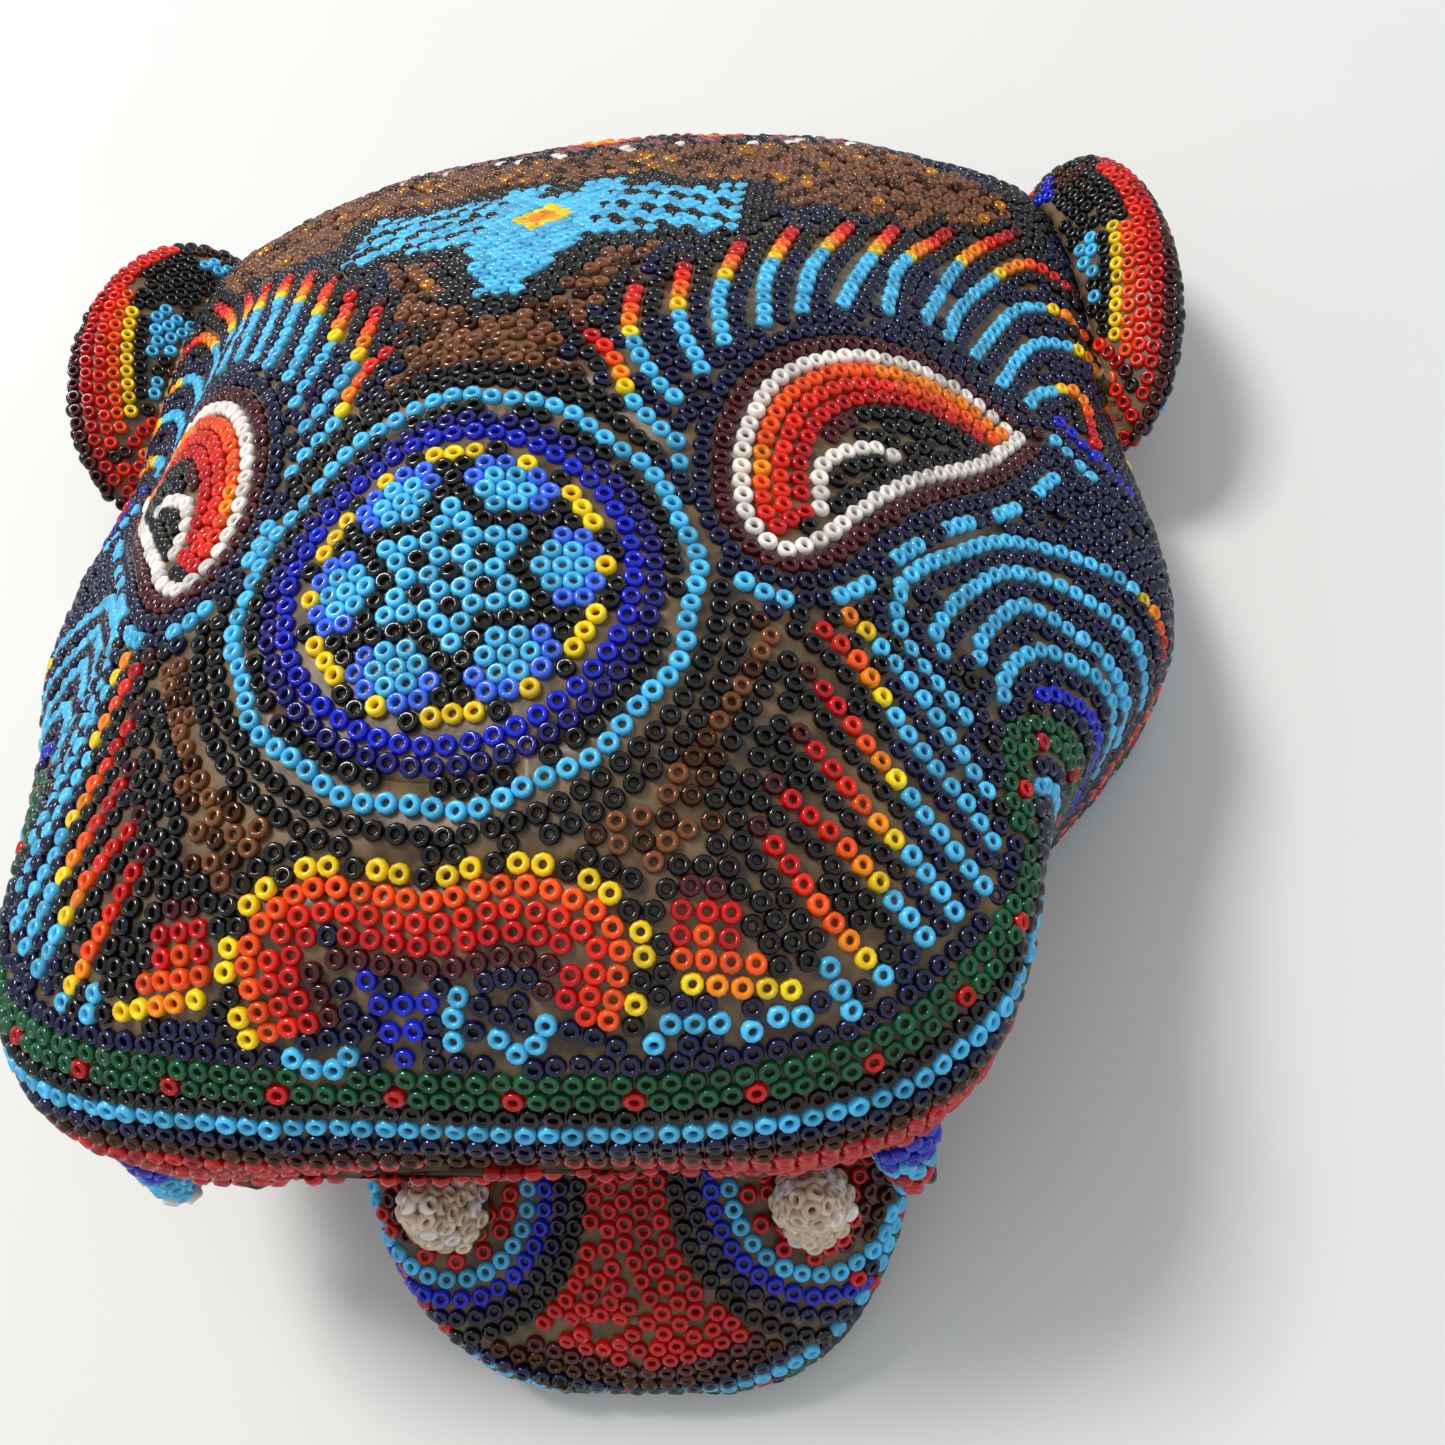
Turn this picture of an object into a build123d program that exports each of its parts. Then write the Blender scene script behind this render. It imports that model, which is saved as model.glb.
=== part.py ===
from build123d import *
import os
from math import hypot

# Beaded big cat head: a carved wooden head, jaw, ears and canines, each under a coat of
# beeswax that holds a closed layer of glass seed beads. The bead layer is divided where
# its patterns meet.
#
# Frame: X across the head, +X the viewer's right; -Y to the mouth, +Y to the crown;
# +Z up from the flat base that the head lies on. The origin is in the middle of the base.
# Lengths are in millimetres.

BEAD_LAYER = 1.3
WAX_LAYER = 1.0
WAX_DEPTH = BEAD_LAYER
CORE_DEPTH = BEAD_LAYER + WAX_LAYER
SMALLEST_PIECE = 2.0

# Half cross-sections of the head. Each row is Y, then the top, crest, shoulder, cheek,
# widest, lower and bottom points as (x, z). What lies below 0 is cut flat by the base.
HEAD_SECTIONS = [
    (-70.5, (0, 48.5), (13, 48.2), (22, 47.0), (27, 45.2), (30, 42.0), (20, 37.4), (0, 36.6)),
    (-68.0, (0, 52.0), (16, 51.6), (29, 49.4), (35.5, 46.6), (39, 42.4), (28, 35.6), (0, 34.6)),
    (-64.0, (0, 57.5), (17, 57.0), (33, 53.0), (41.5, 48.5), (45.5, 42.6), (33, 34.5), (0, 33.5)),
    (-57.0, (0, 63.0), (18, 62.4), (36, 56.4), (46, 50.2), (50.5, 42.6), (36, 33.0), (0, 32.0)),
    (-46.0, (0, 66.5), (17, 66.0), (37, 58.6), (49, 50.0), (54, 41.5), (36, 31.0), (0, 30.0)),
    (-33.0, (0, 69.6), (17, 68.0), (37, 58.8), (51, 47.5), (57, 36.0), (44, 14.0), (0, 8.0)),
    (-20.0, (0, 70.8), (18, 67.4), (38, 58.0), (53, 43.5), (65, 23.0), (54, 2.0), (0, -8.0)),
    (-6.0, (0, 70.0), (20, 63.6), (41, 53.6), (57, 38.5), (72.5, 16.0), (60, -5.0), (0, -12.0)),
    (10.0, (0, 66.2), (20, 61.4), (42, 49.6), (57.5, 35.0), (73, 13.0), (60, -6.0), (0, -12.0)),
    (28.0, (0, 58.6), (21, 56.0), (43, 44.6), (57, 30.5), (70, 12.0), (58, -6.0), (0, -12.0)),
    (48.0, (0, 46.8), (24, 45.2), (43, 38.0), (56, 28.0), (69, 12.0), (58, -6.0), (0, -12.0)),
    (68.0, (0, 34.2), (24, 33.2), (42, 30.0), (57, 24.0), (66, 10.0), (54, -6.0), (0, -12.0)),
    (84.0, (0, 24.8), (20, 24.0), (37, 21.0), (49, 15.5), (56, 7.0), (42, -5.0), (0, -9.0)),
    (94.0, (0, 17.0), (14, 16.0), (22, 13.6), (28, 9.6), (31, 4.0), (24, -4.0), (0, -6.0)),
]

# The carver set the low part of the head over to +X: by this much at the base, fading to
# nothing at the height of the brow and towards the muzzle.
SET_OVER = 4.5
SET_OVER_HEIGHT = 56.0
SET_OVER_START = -46.0
SET_OVER_FULL = -6.0

# Half cross-sections of the lower jaw about its own middle plane, which the carver set
# off to one side: Y, then the floor, rim, widest and bottom points as (x, z).
JAW_SHIFT = 9.5
JAW_SECTIONS = [
    (-88.5, (0, 7.0), (7, 6.4), (10, 3.0), (0, -3.0)),
    (-86.5, (0, 10.5), (12, 9.4), (17, 5.0), (0, -5.0)),
    (-81.0, (0, 16.5), (17, 14.4), (24, 9.0), (0, -7.0)),
    (-72.0, (0, 21.5), (21, 19.0), (29.0, 13.5), (0, -7.0)),
    (-60.0, (0, 26.0), (23, 24.0), (31.5, 18.0), (0, -7.0)),
    (-42.0, (0, 29.0), (23, 27.6), (33.0, 20.0), (0, -7.0)),
]

EAR_CENTRE = (66.5, 54.0, 14.0)
EAR_SHIFT = 5.5
EAR_RADII = (6.0, 26.0, 15.5)
EAR_LEAN = 40.0
EAR_TURN = 6.0

FANG_TIP_RADIUS = 2.6
UPPER_FANG_RADIUS = 6.4
UPPER_FANG_ROOT = (37.5, -60.0, 44.0)
UPPER_FANG_TIP = (40.0, -69.0, 21.5)
LOWER_FANG_RADIUS = 8.0
LOWER_FANG_SPREAD = 20.0
LOWER_FANG_ROOT = (-69.0, 10.0)
LOWER_FANG_TIP = (-72.0, 31.0)

# Plan outlines of the bead patterns, on the +X half where a pattern has two sides.
FAR = 130.0
NOSE_DISC_CENTRE = (0.0, -21.5)
NOSE_DISC_RADIUS = 20.0
NOSE_PAD_HALF = 18.5
NOSE_PAD_BACK = -50.0
LIP_TOP = 49.0
LIP_BOTTOM = 38.5
LIP_BACK = -38.0
ROOF_BACK = -31.0
THROAT_HALF = 52.0
THROAT_BACK = -5.0
THROAT_TOP = 20.0
MUZZLE_OUTLINE = [(0, -90), (FAR, -90), (FAR, -34), (56, -30), (41, -14), (22, -8), (0, -8)]
EYE_OUTLINE = [(25, -1), (29, -11), (37, -12.5), (50, -1), (64, 24), (49, 20), (36, 12), (27.5, 6)]
BROW_OUTLINE = [(8, 8), (22, -8), (41, -14), (60, 4), (76, 30), (66, 50), (30, 50), (16, 32)]
CHEEK_OUTLINE = [(41, -14), (56, -30), (FAR, -34), (FAR, 24), (74, 26), (60, 4)]
BIRD_OUTLINE = [(0, 16), (14, 30), (30, 52), (28, 66), (-28, 66), (-30, 52), (-14, 30)]
CROWN_BAND_FRONT = 80.0
TEMPLE_INNER = 38.0

FLOOR_OUTLINE = [(6, -82), (15, -79), (21, -70), (24, -60), (25, -40)]
FLOOR_LOW = 6.0

# The parts of a motif that stand on another part: its wood, wax and beads.
DEPTHS = (CORE_DEPTH, WAX_DEPTH, 0.0)


def refine(rows):
    """The sections with one more midway between each two, on a smooth cubic through them."""
    last = len(rows) - 1
    flat = [(row[0], *[value for point in row[1:] for value in point]) for row in rows]
    slopes = []
    for i in range(len(rows)):
        before, after = flat[max(i - 1, 0)], flat[min(i + 1, last)]
        run = after[0] - before[0]
        slopes.append([(b - a) / run for a, b in zip(before, after)])
    finer = [rows[0]]
    for i in range(last):
        run = flat[i + 1][0] - flat[i][0]
        columns = zip(flat[i], flat[i + 1], slopes[i], slopes[i + 1])
        middle = [(a + b) / 2 + (p - q) * run / 8 for a, b, p, q in columns]
        points = [(middle[j], middle[j + 1]) for j in range(1, len(middle), 2)]
        finer += [(middle[0], *points), rows[i + 1]]
    return finer


def outward_normals(rows, i):
    """Unit normals of the form at the points of section i."""
    before = rows[max(i - 1, 0)]
    after = rows[min(i + 1, len(rows) - 1)]
    points = rows[i][1:]
    mirrored = [(-points[1][0], points[1][1]), *points, (-points[-2][0], points[-2][1])]
    normals = []
    for j in range(len(points)):
        along = Vector(mirrored[j + 2][0] - mirrored[j][0], 0, mirrored[j + 2][1] - mirrored[j][1])
        near, far = before[j + 1], after[j + 1]
        ahead = Vector(far[0] - near[0], after[0] - before[0], far[1] - near[1])
        normals.append(along.cross(ahead).normalized())
    return normals


def inset_rows(rows, depth):
    """The sections moved inwards by depth: each slides along Y and shrinks in its plane."""
    if depth == 0:
        return rows
    moved = []
    last = len(rows) - 1
    for i, row in enumerate(rows):
        normals = outward_normals(rows, i)
        lean = -1 if i == 0 else 1 if i == last else sum(n.Y for n in normals) / len(normals)
        shrunk = []
        for (x, z), normal in zip(row[1:], normals):
            flat = hypot(normal.X, normal.Z)
            reach = depth if i in (0, last) else depth * (1 - lean * normal.Y) / flat
            new_x = x - reach * normal.X / flat if x else 0
            shrunk.append((new_x, z - reach * normal.Z / flat))
        moved.append((row[0] - depth * lean, *shrunk))
    return moved


def set_over(y, z):
    """How far the head leans to +X at this place."""
    along = min(max((y - SET_OVER_START) / (SET_OVER_FULL - SET_OVER_START), 0), 1)
    below = max(1 - z / SET_OVER_HEIGHT, 0)
    return SET_OVER * along * below


def jaw_middle(y, z):
    return JAW_SHIFT


def section_face(row, middle):
    """Closed section: an upper and a lower spline that meet upright at the widest point."""
    y = row[0]
    points = row[1:]
    widest = max(range(len(points)), key=lambda j: points[j][0])
    over = points[: widest + 1]
    under = points[widest:]
    upper = [(x, z) for x, z in reversed(over)] + [(-x, z) for x, z in over[1:]]
    lower = [(-x, z) for x, z in under] + [(x, z) for x, z in reversed(under[:-1])]
    rise, fall = (0, 0, 1), (0, 0, -1)
    top = Spline([Vector(middle(y, z) + x, y, z) for x, z in upper], tangents=[rise, fall])
    sole = Spline([Vector(middle(y, z) + x, y, z) for x, z in lower], tangents=[fall, rise])
    return Face(Wire([top, sole]))


def form_through(rows, depth, middle):
    faces = [section_face(row, middle) for row in inset_rows(refine(rows), depth)]
    return loft(faces, ruled=True).solid()


def head_form(depth):
    return form_through(HEAD_SECTIONS, depth, set_over)


def jaw_form(depth):
    return form_through(JAW_SECTIONS, depth, jaw_middle)


def ear_form(side, depth):
    """A lens that leans outwards from the side of the crown."""
    radii = [radius - depth for radius in EAR_RADII]
    lens = scale(Sphere(1), by=tuple(radii))
    place = Pos(EAR_SHIFT + side * EAR_CENTRE[0], EAR_CENTRE[1], EAR_CENTRE[2])
    return (place * Rot(0, 0, side * EAR_TURN) * Rot(0, side * EAR_LEAN, 0) * lens).solid()


def fang_form(root, tip, radius, depth):
    """A tapered peg from root to tip with a round end."""
    base = Vector(*root)
    axis = Vector(*tip) - base
    shaft = axis.length - FANG_TIP_RADIUS
    end = FANG_TIP_RADIUS - depth
    peg = Cone(radius - depth, end, shaft, align=(Align.CENTER, Align.CENTER, Align.MIN))
    peg += Pos(0, 0, shaft) * Sphere(end)
    return (Plane(origin=base, z_dir=axis.normalized()) * peg).solid()


def upper_fang(side, depth):
    root = (side * UPPER_FANG_ROOT[0], *UPPER_FANG_ROOT[1:])
    tip = (side * UPPER_FANG_TIP[0], *UPPER_FANG_TIP[1:])
    return fang_form(root, tip, UPPER_FANG_RADIUS, depth)


def lower_fang(side, depth):
    x = JAW_SHIFT + side * LOWER_FANG_SPREAD
    return fang_form((x, *LOWER_FANG_ROOT), (x, *LOWER_FANG_TIP), LOWER_FANG_RADIUS, depth)


def layers(form):
    """The wood, wax and bead layers of a form, as closed solids that nest."""
    core, waxed, beaded = [form(depth) for depth in DEPTHS]
    return {"core": core, "wax": waxed - core, "beads": beaded - waxed, "waxed": waxed, "all": beaded}


def join(host, guest):
    """Stand one set of layers on another: wood meets wood, wax meets wax, beads meet beads."""
    guest["beads"] -= host["all"]
    guest["wax"] -= host["waxed"]
    guest["core"] -= host["core"]
    host["beads"] -= guest["waxed"]
    host["wax"] -= guest["core"]


def prism(outline, side=1, low=0.0, high=FAR):
    """A vertical block over a plan outline, mirrored for the -X side."""
    face = make_face(Polyline([(side * x, y, low) for x, y in outline], close=True))
    return extrude(face, high - low, dir=(0, 0, 1))


def box_between(low, high):
    centre = [(a + b) / 2 for a, b in zip(low, high)]
    sides = [b - a for a, b in zip(low, high)]
    return Pos(*centre) * Box(*sides)


def head_regions():
    """Cutters for the head's bead patterns, in the order that they are taken out."""
    x, y = NOSE_DISC_CENTRE
    roof = box_between((-FAR, -FAR, -FAR), (FAR, ROOF_BACK, LIP_BOTTOM))
    roof += box_between((-THROAT_HALF, -FAR, -FAR), (THROAT_HALF, THROAT_BACK, THROAT_TOP))
    regions = {
        "mouth_roof_beads": roof,
        "lip_band_beads": box_between((-FAR, -FAR, LIP_BOTTOM), (FAR, LIP_BACK, LIP_TOP)),
        "nose_disc_beads": Pos(x, y, FAR / 2) * Cylinder(NOSE_DISC_RADIUS, FAR),
        "nose_pad_beads": box_between((-NOSE_PAD_HALF, -FAR, 0), (NOSE_PAD_HALF, NOSE_PAD_BACK, FAR)),
        "forehead_bird_beads": prism(BIRD_OUTLINE),
        "crown_band_beads": box_between((-FAR, CROWN_BAND_FRONT, 0), (FAR, FAR, FAR)),
    }
    for side, word in ((1, "right"), (-1, "left")):
        regions[f"eye_beads_{word}"] = prism(EYE_OUTLINE, side)
        regions[f"muzzle_beads_{word}"] = prism(MUZZLE_OUTLINE, side)
        regions[f"cheek_beads_{word}"] = prism(CHEEK_OUTLINE, side)
        regions[f"brow_beads_{word}"] = prism(BROW_OUTLINE, side)
        inner, outer = sorted((side * TEMPLE_INNER, side * FAR))
        regions[f"temple_beads_{word}"] = box_between((inner, -FAR, 0), (outer, FAR, FAR))
    return regions


def jaw_regions():
    outline = [(JAW_SHIFT + x, y) for x, y in FLOOR_OUTLINE]
    outline += [(JAW_SHIFT - x, y) for x, y in reversed(FLOOR_OUTLINE)]
    return {"mouth_floor_beads": prism(outline, low=FLOOR_LOW)}


def split_beads(skin, regions, rest):
    """Cut a bead layer into its patterns; what no cutter takes keeps the name in rest."""
    pieces = {}
    for name, cutter in regions.items():
        pieces[name] = skin & cutter
        skin = skin - cutter
    pieces[rest] = skin
    return pieces


def build_parts():
    head = layers(head_form)
    jaw = layers(jaw_form)
    join(head, jaw)
    parts = {}
    for side, word in ((1, "right"), (-1, "left")):
        ear = layers(lambda depth: ear_form(side, depth))
        upper = layers(lambda depth: upper_fang(side, depth))
        lower = layers(lambda depth: lower_fang(side, depth))
        join(head, ear)
        join(head, upper)
        join(jaw, lower)
        for name, layer in (("ear", ear), ("upper_fang", upper), ("lower_fang", lower)):
            for kind in ("core", "wax", "beads"):
                parts[f"{name}_{kind}_{word}"] = layer[kind]
    for name, layer in (("head", head), ("jaw", jaw)):
        parts[f"{name}_core"] = layer["core"]
        parts[f"{name}_wax"] = layer["wax"]
    parts |= split_beads(head["beads"], head_regions(), "forehead_beads")
    parts |= split_beads(jaw["beads"], jaw_regions(), "jaw_rim_beads")
    return parts


def above_base(shape):
    """The solids of a shape that lie above the base, without slivers."""
    kept = shape & box_between((-FAR, -FAR, 0), (FAR, FAR, FAR))
    solids = [solid for solid in kept.solids() if solid.volume > SMALLEST_PIECE]
    return solids[0] if len(solids) == 1 else Compound(children=solids)


def main():
    os.makedirs("parts", exist_ok=True)
    for name, shape in build_parts().items():
        export_step(above_base(shape), f"parts/{name}.step")


main()
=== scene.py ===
"""Beaded big cat head: glass seed beads pressed in rows into the beeswax of a carved wooden head."""
import math
import random

import bmesh
import bpy
import numpy as np
from mathutils import Matrix, Vector
from mathutils.bvhtree import BVHTree
from mathutils.kdtree import KDTree


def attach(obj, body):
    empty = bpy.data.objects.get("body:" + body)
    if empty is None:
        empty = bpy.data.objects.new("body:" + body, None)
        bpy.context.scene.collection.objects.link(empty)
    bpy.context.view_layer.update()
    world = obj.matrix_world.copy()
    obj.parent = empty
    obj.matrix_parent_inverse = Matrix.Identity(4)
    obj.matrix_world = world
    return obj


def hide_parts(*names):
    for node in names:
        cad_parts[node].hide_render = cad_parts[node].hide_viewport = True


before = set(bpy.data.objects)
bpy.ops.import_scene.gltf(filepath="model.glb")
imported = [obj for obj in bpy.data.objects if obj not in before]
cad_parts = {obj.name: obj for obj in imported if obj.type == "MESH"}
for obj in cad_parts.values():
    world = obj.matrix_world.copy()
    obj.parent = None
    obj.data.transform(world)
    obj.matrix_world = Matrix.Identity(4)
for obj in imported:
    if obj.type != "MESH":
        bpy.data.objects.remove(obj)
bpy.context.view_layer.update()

bl_info = {
    "name": "Beaded Big Cat Head",
    "version": (1, 0, 0),
    "blender": (4, 5, 0),
    "location": "View3D > Sidebar > Beadwork",
    "description": "Presses rows of glass seed beads into the waxed head, jaw, ears and canines",
    "category": "Add Mesh",
}

MM = 0.001

# The low part of the head leans to +X, as the carving does.
LEAN = 4.5
LEAN_HEIGHT = 56.0
LEAN_START = -46.0
LEAN_RUN = 40.0
JAW_MIDDLE = 9.5

# Glass colours by letter: name, colour, roughness.
GLASS = {
    "K": ("black", (0.002, 0.002, 0.0025), 0.13),
    "N": ("navy", (0.002, 0.004, 0.035), 0.13),
    "V": ("violet_blue", (0.006, 0.006, 0.14), 0.13),
    "Z": ("royal_blue", (0.004, 0.014, 0.50), 0.14),
    "P": ("periwinkle", (0.05, 0.16, 0.80), 0.16),
    "T": ("turquoise", (0.075, 0.50, 0.82), 0.18),
    "W": ("white", (0.78, 0.73, 0.67), 0.2),
    "C": ("cream", (0.66, 0.53, 0.38), 0.22),
    "M": ("maroon", (0.060, 0.003, 0.006), 0.12),
    "R": ("red", (0.52, 0.002, 0.002), 0.16),
    "r": ("scarlet", (0.75, 0.018, 0.002), 0.16),
    "O": ("orange", (0.90, 0.085, 0.002), 0.16),
    "A": ("amber", (0.95, 0.25, 0.003), 0.16),
    "Y": ("yellow", (0.92, 0.62, 0.004), 0.18),
    "G": ("green", (0.003, 0.085, 0.028), 0.15),
    "B": ("brown", (0.17, 0.055, 0.014), 0.1),
    "b": ("bronze", (0.075, 0.030, 0.014), 0.1),
    "g": ("gold", (0.70, 0.27, 0.03), 0.12),
    "D": ("rose", (0.25, 0.08, 0.09), 0.2),
}
METAL = {"b": 0.75, "g": 0.85}
TONES = (0.80, 1.0, 1.18)

# Seed lines on the right half, in millimetres; the left half mirrors them.
EYE_TIP = (58.5, 16.5, 34.5)
EYE_LINE = [
    EYE_TIP, (53, 8, 41), (45, 0, 50), (39, -7, 55.5), (34.5, -13, 59), (30.5, -15.2, 61), (27.6, -12, 61.3),
    (27, -6, 61), (27.6, 1, 60), (30.5, 9, 57.5), (36, 15, 53.2), (44, 18.8, 46.8), (52, 19.3, 39.5), EYE_TIP,
]
EYE_ARCH = EYE_LINE[5:]
PUPIL = [
    (34.6, -12.5, 59), (34.8, -7, 57.8), (34.9, -2.5, 56.8), (37.6, 0.8, 54.8), (41, 2.6, 52),
    (44.6, 1.6, 50.5), (45.4, -0.6, 50.2),
]
ARCH_ROWS = ("RRrrOAAOOOOOOOOOOOAAA", "RRrrrrrrrrrrrrrrrOO", "RRRRRRRRRRRRRRR", "MMMMMMMMMMMK")
BROW_STRIPES = [
    [(10, 13, 64), (14, 8, 64), (16, 2, 64), (21, -3, 63)],
    [(15, 23, 59), (15, 13, 62), (18, 6, 63), (21, 3, 62)],
    [(20, 29, 56), (20, 17, 60), (23, 8, 61)],
    [(26, 36, 51), (24, 22, 57), (25, 13, 59)],
    [(32, 42, 46), (29, 28, 53), (29, 18, 56)],
    [(39, 47, 41), (34, 32, 49), (33, 22, 53)],
    [(45, 50, 37), (40, 35, 45), (38, 26, 50)],
    [(53, 55, 31), (45, 40, 40), (43, 27, 46)],
    [(62, 59, 25), (54, 49, 31), (47, 29, 41)],
    [(70, 51, 20), (62, 52, 26), (53, 39, 33), (50, 29, 38)],
    [(74, 36, 21), (69, 44, 21), (61, 43, 27), (54, 29, 35)],
    [(76, 29, 17), (72, 38, 19), (63, 37, 27), (57, 26, 33)],
    [(69, 19, 26), (68, 30, 24), (62, 27, 29), (60, 23, 31)],
]
CHEEK_ARCS = [
    [(74, -9, 22), (70, -4, 29), (64, -2, 34), (58, -2, 38), (53, -4, 42), (49, -8, 47), (44, -13, 52),
     (42, -17, 54), (42, -21, 55), (45, -26, 52), (49, -30, 49)],
    [(73, -17, 22), (68, -10, 32), (61, -7, 37), (56, -7, 40), (52, -10, 45), (46, -19, 51),
     (47, -23, 50.5)],
    [(71, -23, 22), (66, -16, 32), (59, -12, 39), (55, -12, 42), (50, -19, 46.5), (50.5, -22, 47)],
    [(69, -28, 22), (65, -19, 32), (60, -17, 38), (57, -17, 41), (53, -21, 44), (52, -26, 46)],
]
ROYAL_ARC = [(67, -33, 22), (65, -25, 31), (60, -22, 38), (56, -23, 43)]
GREEN_ARC = [
    (65, -37, 22), (64, -31, 29), (60, -27, 37), (56.5, -26.5, 42.5), (53, -29, 46), (52, -36, 47),
    (53, -42, 47),
]
INNER_ARC = [(61, -40, 27), (60, -36, 34), (57.5, -33.5, 41), (54, -35, 45.5)]
FAN_ROWS = [
    ("RrOAYT", [(38, -16, 57), (37, -21, 59), (40, -24, 57), (44, -29, 53), (48, -35, 50), (50, -38, 49)]),
    ("MRrOAYT", [(33, -23, 61), (38, -27, 58), (42, -33, 55), (47, -39, 51), (50, -43, 49)]),
    ("MRRrOAYT", [(33, -29, 61), (38, -35, 58), (44, -42, 54), (48, -47, 50)]),
    ("MRRrOAYT", [(32, -35.5, 61), (38, -42, 58), (43, -47, 54), (46, -51, 52)]),
    ("MRRrOAYT", [(30, -41, 63), (36, -46, 59), (42, -52, 55), (43.5, -54.5, 53)]),
    ("MRRrOOAYT", [(28.5, -45, 63), (34, -52, 59), (39, -57, 55)]),
    ("T", [(34, -56.5, 57.5), (36, -60, 55)]),
]
PATCH = [
    (23, -17), (30, -21), (31.5, -27), (28, -33), (25, -40), (24.5, -47), (20, -49.5), (13, -46),
    (13.5, -43), (18, -37), (22.5, -31), (25, -24),
]
# Brown rows of the patch: sideways shift and colours.
BROWN_ROWS = (
    (0, "BbbBb"), (2.1, "BBbB"), (-2.1, "BbBB"), (4.2, "BBBb"), (-4.2, "BBbB"), (6.3, "B"), (-6.3, "B"),
)
TRIANGLE_ROWS = [("MM", 22.6, 25.4, -50.6), ("RRR", 21.8, 26.6, -52.6), ("ROR", 21.6, 27.4, -54.6),
                 ("OOOO", 21.6, 28.6, -56.5), ("YAAY", 22.4, 30.6, -58.4)]
PAD_ARCH = [
    (-17.5, -62, 59.5), (-19, -56, 62.5), (-16.5, -50.8, 64.5), (-12, -48.3, 65.7), (-6, -48.6, 66),
    (0, -49.6, 65.8), (6, -48.6, 66), (12, -49.3, 65.2), (17, -52.3, 64), (18.4, -56, 62.5),
    (17, -61.5, 59.5),
]
LIP_LINE = [
    (-53, -41, 46), (-50.5, -48, 48), (-45, -54.5, 51), (-33, -61, 57), (-13, -63.5, 58), (3, -64.5, 57.5),
    (22, -64, 56), (35, -61, 54), (43, -55.5, 52.5), (49, -48, 49), (52, -41, 47),
]
RIM_LINE = [
    (-29, -60, 21), (-26, -70, 19), (-21, -79, 16), (-12, -84.5, 12), (0, -87, 9.5), (12, -84.5, 12),
    (21, -79, 16), (26, -70, 19), (29, -60, 21),
]

# Places and counts that more than one row or rule leans on, in millimetres and pitches.
DISC_X = 0.8
DISC_Y = -21.5
LATTICE_RADIUS = 7.1
ROW_GAP = 0.93
CANINE_X = 20
CANINE_Y = -69
EAR_MIDDLE = 5.5
EAR_REACH = 66.5
DARTS = 9000
FILL_SEED = 7
DART_SEED = 11
BEAD_SEED = 100

# The camera's place in millimetres, and the directions of its right side and of its look.
CAMERA_PLACE = (39.7, -91.7, 176.7)
CAMERA_RIGHT = (0.992, 0.002, -0.126)
CAMERA_LOOK = (-0.114, 0.444, -0.889)


def lean(y, z):
    """How far the head stands over to +X at this place: more at the back and low down."""
    along = np.clip((y - LEAN_START) / LEAN_RUN, 0, 1)
    return LEAN * along * np.maximum(1 - z / LEAN_HEIGHT, 0)


def mirrored(points):
    """The same line on the left half: x is turned about the leaning middle."""
    return [(2 * float(lean(y, z)) - x, y, z) for x, y, z in points]


# How a line is laid on the right and on the left half, and the sign of its side.
HALVES = ((list, 1), (mirrored, -1))


def run_along(places):
    """Distance of each place from the line's start: the sum of the steps before it."""
    return np.concatenate([[0], np.cumsum(np.linalg.norm(np.diff(places, axis=0), axis=1))])


def smooth_line(points, steps=14):
    """Catmull-Rom curve: each span is a cubic through its two ends with slopes from their neighbours."""
    knots = np.asarray(points, float)
    if len(knots) == 2:
        share = np.linspace(0, 1, steps)[:, None]
        return knots[0] * (1 - share) + knots[1] * share
    padded = np.vstack([2 * knots[0] - knots[1], knots, 2 * knots[-1] - knots[-2]])
    a, b, c, d = padded[:-3, None], padded[1:-2, None], padded[2:-1, None], padded[3:, None]
    t = np.linspace(0, 1, steps, endpoint=False)[None, :, None]
    spans = 0.5 * (2 * b + (c - a) * t + (2 * a - 5 * b + 4 * c - d) * t ** 2
                   + (3 * b - a - 3 * c + d) * t ** 3)
    return np.vstack([spans.reshape(-1, 3), knots[-1]])


def inside(x, y, outline):
    """True where the point is inside the closed outline: it crosses an odd number of edges."""
    xs, ys = np.asarray(outline, float).T
    xe, ye = np.roll(xs, -1), np.roll(ys, -1)
    spans = (ys > y) != (ye > y)
    slope = (xe - xs) / np.where(ye == ys, 1, ye - ys)
    return bool(np.count_nonzero(spans & (x < xs + (y - ys) * slope)) % 2)


def pick(code, index, cycle=False):
    """Letter of a bead in its row: the code is read once and its last letter repeated, or cycled."""
    return code[index % len(code)] if cycle else code[min(index, len(code) - 1)]


def family(node, kind):
    """The node of this kind, core or wax, that backs a bead node."""
    word = node.rsplit("_", 1)[1]
    for part in ("ear", "upper_fang", "lower_fang"):
        if node.startswith(part):
            return f"{part}_{kind}_{word}"
    return f"jaw_{kind}" if node in ("jaw_rim_beads", "mouth_floor_beads") else f"head_{kind}"


def triangles_of(node):
    """Corners of a CAD node's triangles, in millimetres, as an array of n x 3 x 3."""
    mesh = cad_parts[node].data
    mesh.calc_loop_triangles()
    corners = np.empty(len(mesh.vertices) * 3)
    mesh.vertices.foreach_get("co", corners)
    index = np.empty(len(mesh.loop_triangles) * 3, int)
    mesh.loop_triangles.foreach_get("vertices", index)
    return corners.reshape(-1, 3)[index].reshape(-1, 3, 3) / MM


def tree_of(triangles):
    """Search tree over loose triangles."""
    flat = triangles.reshape(-1, 3)
    return BVHTree.FromPolygons(flat.tolist(), np.arange(len(flat)).reshape(-1, 3).tolist())


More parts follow.
